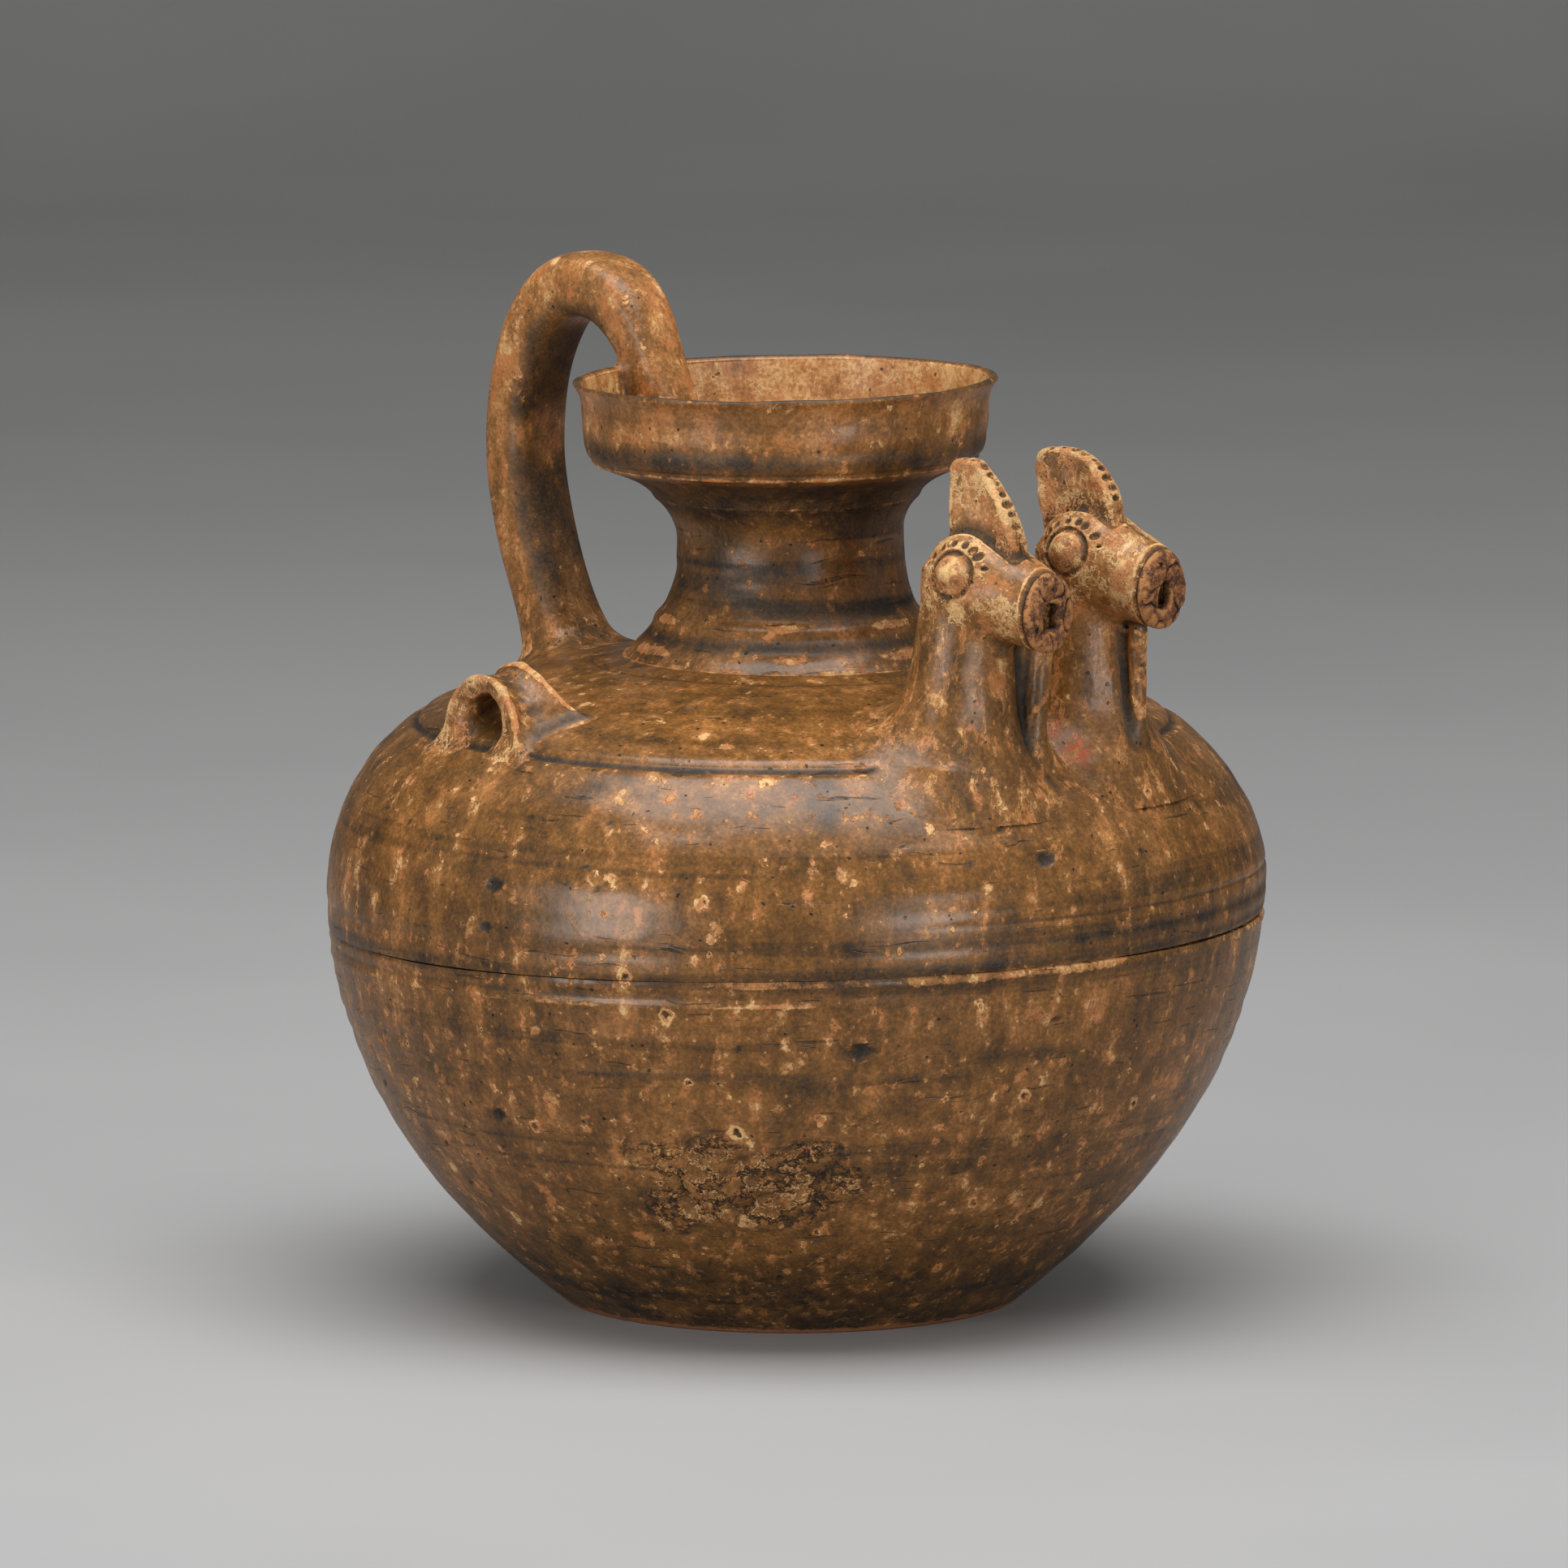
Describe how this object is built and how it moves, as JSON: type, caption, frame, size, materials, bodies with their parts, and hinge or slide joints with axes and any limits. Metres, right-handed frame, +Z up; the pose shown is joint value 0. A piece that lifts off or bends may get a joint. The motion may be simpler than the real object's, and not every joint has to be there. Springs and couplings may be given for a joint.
{
  "type": "chicken head ewer",
  "caption": "Squat glazed stoneware ewer with a dish mouth, a high curved handle, bridge lugs on the shoulder and chicken-head spouts, for pouring wine or water.",
  "frame": {"origin": "middle of the flat base, on the surface that the ewer stands on", "axes": "+Z up along the axis of the thrown body, +X towards the chicken-head spouts, the handle on the -X side"},
  "size_m": [0.19, 0.19, 0.2085],
  "materials": {
    "body_glaze": "glossy amber-brown ash glaze with tan speckles and darker throwing rings",
    "worn_glaze": "mottled tan and olive-brown glaze, worn thin on edges",
    "bare_clay": "rough reddish-brown clay where the glaze drew back"
  },
  "bodies": {
    "root": {"lower_body": "body_glaze", "upper_body": "body_glaze", "neck": "body_glaze", "dish_mouth": "body_glaze", "handle": "body_glaze", "lug_left": "body_glaze", "lug_right": "body_glaze", "spout_neck_left": "body_glaze", "spout_neck_right": "body_glaze", "head_left": "worn_glaze", "head_right": "worn_glaze", "beak_collar_left": "bare_clay", "beak_collar_right": "bare_clay", "comb_left": "worn_glaze", "comb_right": "worn_glaze", "eye_left_outer": "worn_glaze", "eye_left_inner": "worn_glaze", "eye_right_outer": "worn_glaze", "eye_right_inner": "worn_glaze", "throat_roll_left": "body_glaze", "throat_roll_right": "body_glaze"}
  },
  "joints": []
}
